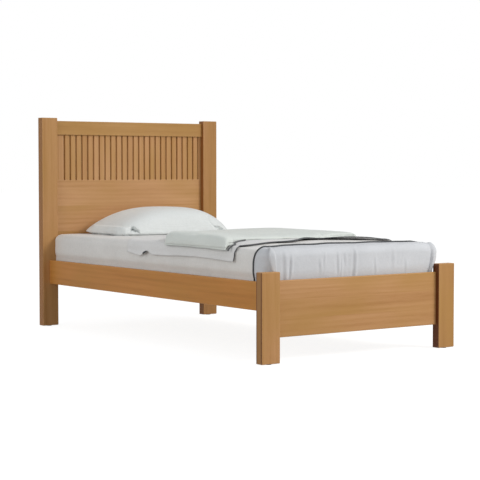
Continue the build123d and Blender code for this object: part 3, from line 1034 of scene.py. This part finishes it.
def makeDuvet():
    swing = np.linspace(-math.pi / 2, math.pi / 2, duvet["points"])
    u, v = np.meshgrid(np.sin(swing), np.sin(swing), indexing="ij")
    x = (duvet["right"] + duvet["left"]) / 2 + (duvet["right"] - duvet["left"]) / 2 * u
    foot = curveThrough(duvet["footAcross"], duvet["footAlong"], x)
    head = curveThrough(duvet["headAcross"], duvet["headAlong"], x)
    corner = 0.010 * np.abs(u) ** 12  # rounds the plan's corners
    y = (foot + head) / 2 + ((head - foot) / 2 - corner) * v
    base = duvet["base"] - duvet["hang"] * smooth(-0.476, -0.498, x) - 0.008 * smooth(0.475, 0.497, x)
    top = curveThrough(duvet["topAcross"], duvet["topHeights"], x)
    # a gentle slope to the foot in the middle
    blunt = 2.2 + 3.5 * smooth(-0.25, -0.45, x) + 4.0 * smooth(0.20, 0.42, x)
    blunt = np.where(v > 0, 5.0, blunt)
    across = np.maximum(1 - np.abs(u) ** 36, 0) ** 0.45
    along = np.maximum(1 - np.abs(v) ** blunt, 0) ** (1 / blunt * 1.2)
    height = (top - base) * across * along
    upper = np.stack([x, y, base + height], -1)
    lower = np.stack([x, y, base], -1)
    count = u.size
    faces = np.concatenate([gridFaces(*u.shape, flip=True), gridFaces(*u.shape) + count])
    piece = newPiece("duvetBody", np.stack([upper, lower]), faces)
    joinRims(piece, 0.0002)
    inflate(piece, voxel=0.006, pressure=3.0, cap=0.005, swell=0.03)
    place, out = settle(piece)
    edge = duvet["base"] + duvet["lip"] - duvet["hang"] * smooth(-0.476, -0.498, place[:, 0])
    side = smooth(0.6, 0.3, np.abs(out[:, 2]))
    dent = 0.005 * side * np.exp(-(((place[:, 2] - edge) / 0.003) ** 2))  # the gap between the two layers
    press(piece, place - out * dent[:, None])
    piece.data.materials.clear()
    piece.data.materials.append(
        clothMaterial("brushed cotton duvet cover", "#E4EAE6", "#D9DFDB", onCloth=False, crumple=0.5)
    )
    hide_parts("folded_duvet")
    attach(piece, "folded_duvet")
    x = np.concatenate([np.linspace(-0.5035, -0.44, 40), np.linspace(-0.435, -0.10, 60)])
    y = curveThrough(duvet["footAcross"], duvet["footAlong"], x) - 0.006 + 0.05 * smooth(-0.20, -0.10, x)
    z = curveThrough(duvet["bindingAcross"], duvet["bindingHeights"], x)
    trim = tubeAlong("duvetBinding", np.stack([x, y, z], -1), 0.0036)
    trim.data.materials.append(binding)
    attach(trim, "folded_duvet")
    return piece


makeDuvet()
print("duvet made")

# Pillow: plump in the middle, thin at the seam, its case open at the left end
pillow = {
    "points": 130,
    "pull": 0.032,  # how far the sides pull in between the corners
    "cornerDraw": 0.095,  # how far the corners are drawn in
    "halfWidth": 0.351,
    "halfDepth": 0.226,
    "middle": (0.0105, 0.721),
    "base": 0.4822,
    "seam": 0.009,
    "height": 0.1355,
    "lean": 0.118,  # how far the plumpest part lies towards the right end
    "hemHeight": 0.5235,  # top of the case's open end, which stands up round the left end as far as hemEnd
    "hemStart": -0.745,
    "hemEnd": -0.528,
    "gapEnd": -0.482,
    "gapDepth": 0.045,  # how deep the pillow lies inside the open end
    "creaseHeights": (0.495, 0.506, 0.537, 0.565, 0.585),
    "creasePlaces": (-0.086, -0.0945, -0.131, -0.142, -0.146),
}


def makePillow():
    swing = np.linspace(-math.pi / 2, math.pi / 2, pillow["points"])
    u, v = np.meshgrid(np.sin(swing), np.sin(swing), indexing="ij")
    pull, draw = pillow["pull"], pillow["cornerDraw"]
    x = pillow["middle"][0] + pillow["halfWidth"] * u * (1 - pull * (1 - v * v) - draw * np.abs(v) ** 6)
    y = pillow["middle"][1] + pillow["halfDepth"] * v * (1 - pull * (1 - u * u) - draw * np.abs(u) ** 6)
    leant = u - pillow["lean"] * (1 - u * u)
    dome = np.maximum(1 - np.abs(leant) ** 2.78, 0) ** 0.9 * np.maximum(1 - v**4, 0) ** 0.45
    # told along a line from the back left corner to the front right, the case's end stands up between two
    # places
    along = 0.806 * x - 0.592 * y
    hem = (
        smooth(pillow["hemEnd"] + 0.003, pillow["hemEnd"] - 0.003, along)
        * smooth(pillow["hemStart"] - 0.03, pillow["hemStart"], along)
    )
    share = (pillow["hemHeight"] - pillow["base"] - pillow["seam"]) / (pillow["height"] - pillow["seam"])
    wall = np.maximum(1 - np.abs(u) ** 60, 0) ** 0.3 * np.maximum(1 - np.abs(v) ** 60, 0) ** 0.3
    dome = np.maximum(dome, hem * share * wall * (x < pillow["middle"][0]))
    upper = np.stack(
        [x, y, pillow["base"] + pillow["seam"] + (pillow["height"] - pillow["seam"]) * dome], -1
    )
    lower = np.stack([x, y, pillow["base"] + pillow["seam"] * (1 - np.minimum(1, 2.2 * dome))], -1)
    faces = np.concatenate([gridFaces(*u.shape, flip=True), gridFaces(*u.shape) + u.size])
    piece = newPiece("pillowBody", np.stack([upper, lower]), faces)
    joinRims(piece, 0.0002)
    inflate(piece, voxel=0.006, pressure=4.0, cap=0.005, swell=0.035)
    place, out = settle(piece)
    along, z = 0.806 * place[:, 0] - 0.592 * place[:, 1], place[:, 2]
    # towards the foot and the left
    facing = smooth(0.1, -0.3, out @ (0.592, 0.806, 0)) * smooth(-0.8, -0.5, out[:, 2])
    gapTop = pillow["hemHeight"] + 0.009 - 0.75 * np.maximum(along - pillow["hemEnd"] - 0.012, 0)
    gap = (
        smooth(pillow["hemEnd"] - 0.002, pillow["hemEnd"] + 0.003, along)
        * smooth(pillow["gapEnd"], pillow["gapEnd"] - 0.008, along)
    )
    gap = gap * smooth(gapTop, gapTop - 0.005, z)
    crease = along - np.interp(z, pillow["creaseHeights"], pillow["creasePlaces"])
    fold = np.exp(-((crease / 0.005) ** 2)) * smooth(0.590, 0.565, z)
    tuck = (
        smooth(-0.002, 0.003, crease)
        * smooth(0.030, 0.022, crease)
        * smooth(0.521, 0.515, z)
        * smooth(0.490, 0.496, z)
    )
    faint = (
        np.exp(-(((along + 0.445 - 0.3 * (z - 0.553)) / 0.004) ** 2))
        * smooth(0.530, 0.540, z)
        * smooth(0.575, 0.565, z)
    )
    push = pillow["gapDepth"] * gap + 0.005 * fold + 0.018 * tuck + 0.0015 * faint
    press(piece, place - out * (facing * push)[:, None])
    piece.data.materials.clear()
    piece.data.materials.append(
        clothMaterial("white percale pillowcase", "#EAEEEE", "#DFE3E2", onCloth=False, crumple=0.4)
    )
    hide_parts("pillow")
    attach(piece, "pillow")
    return piece


makePillow()
print("pillow made")
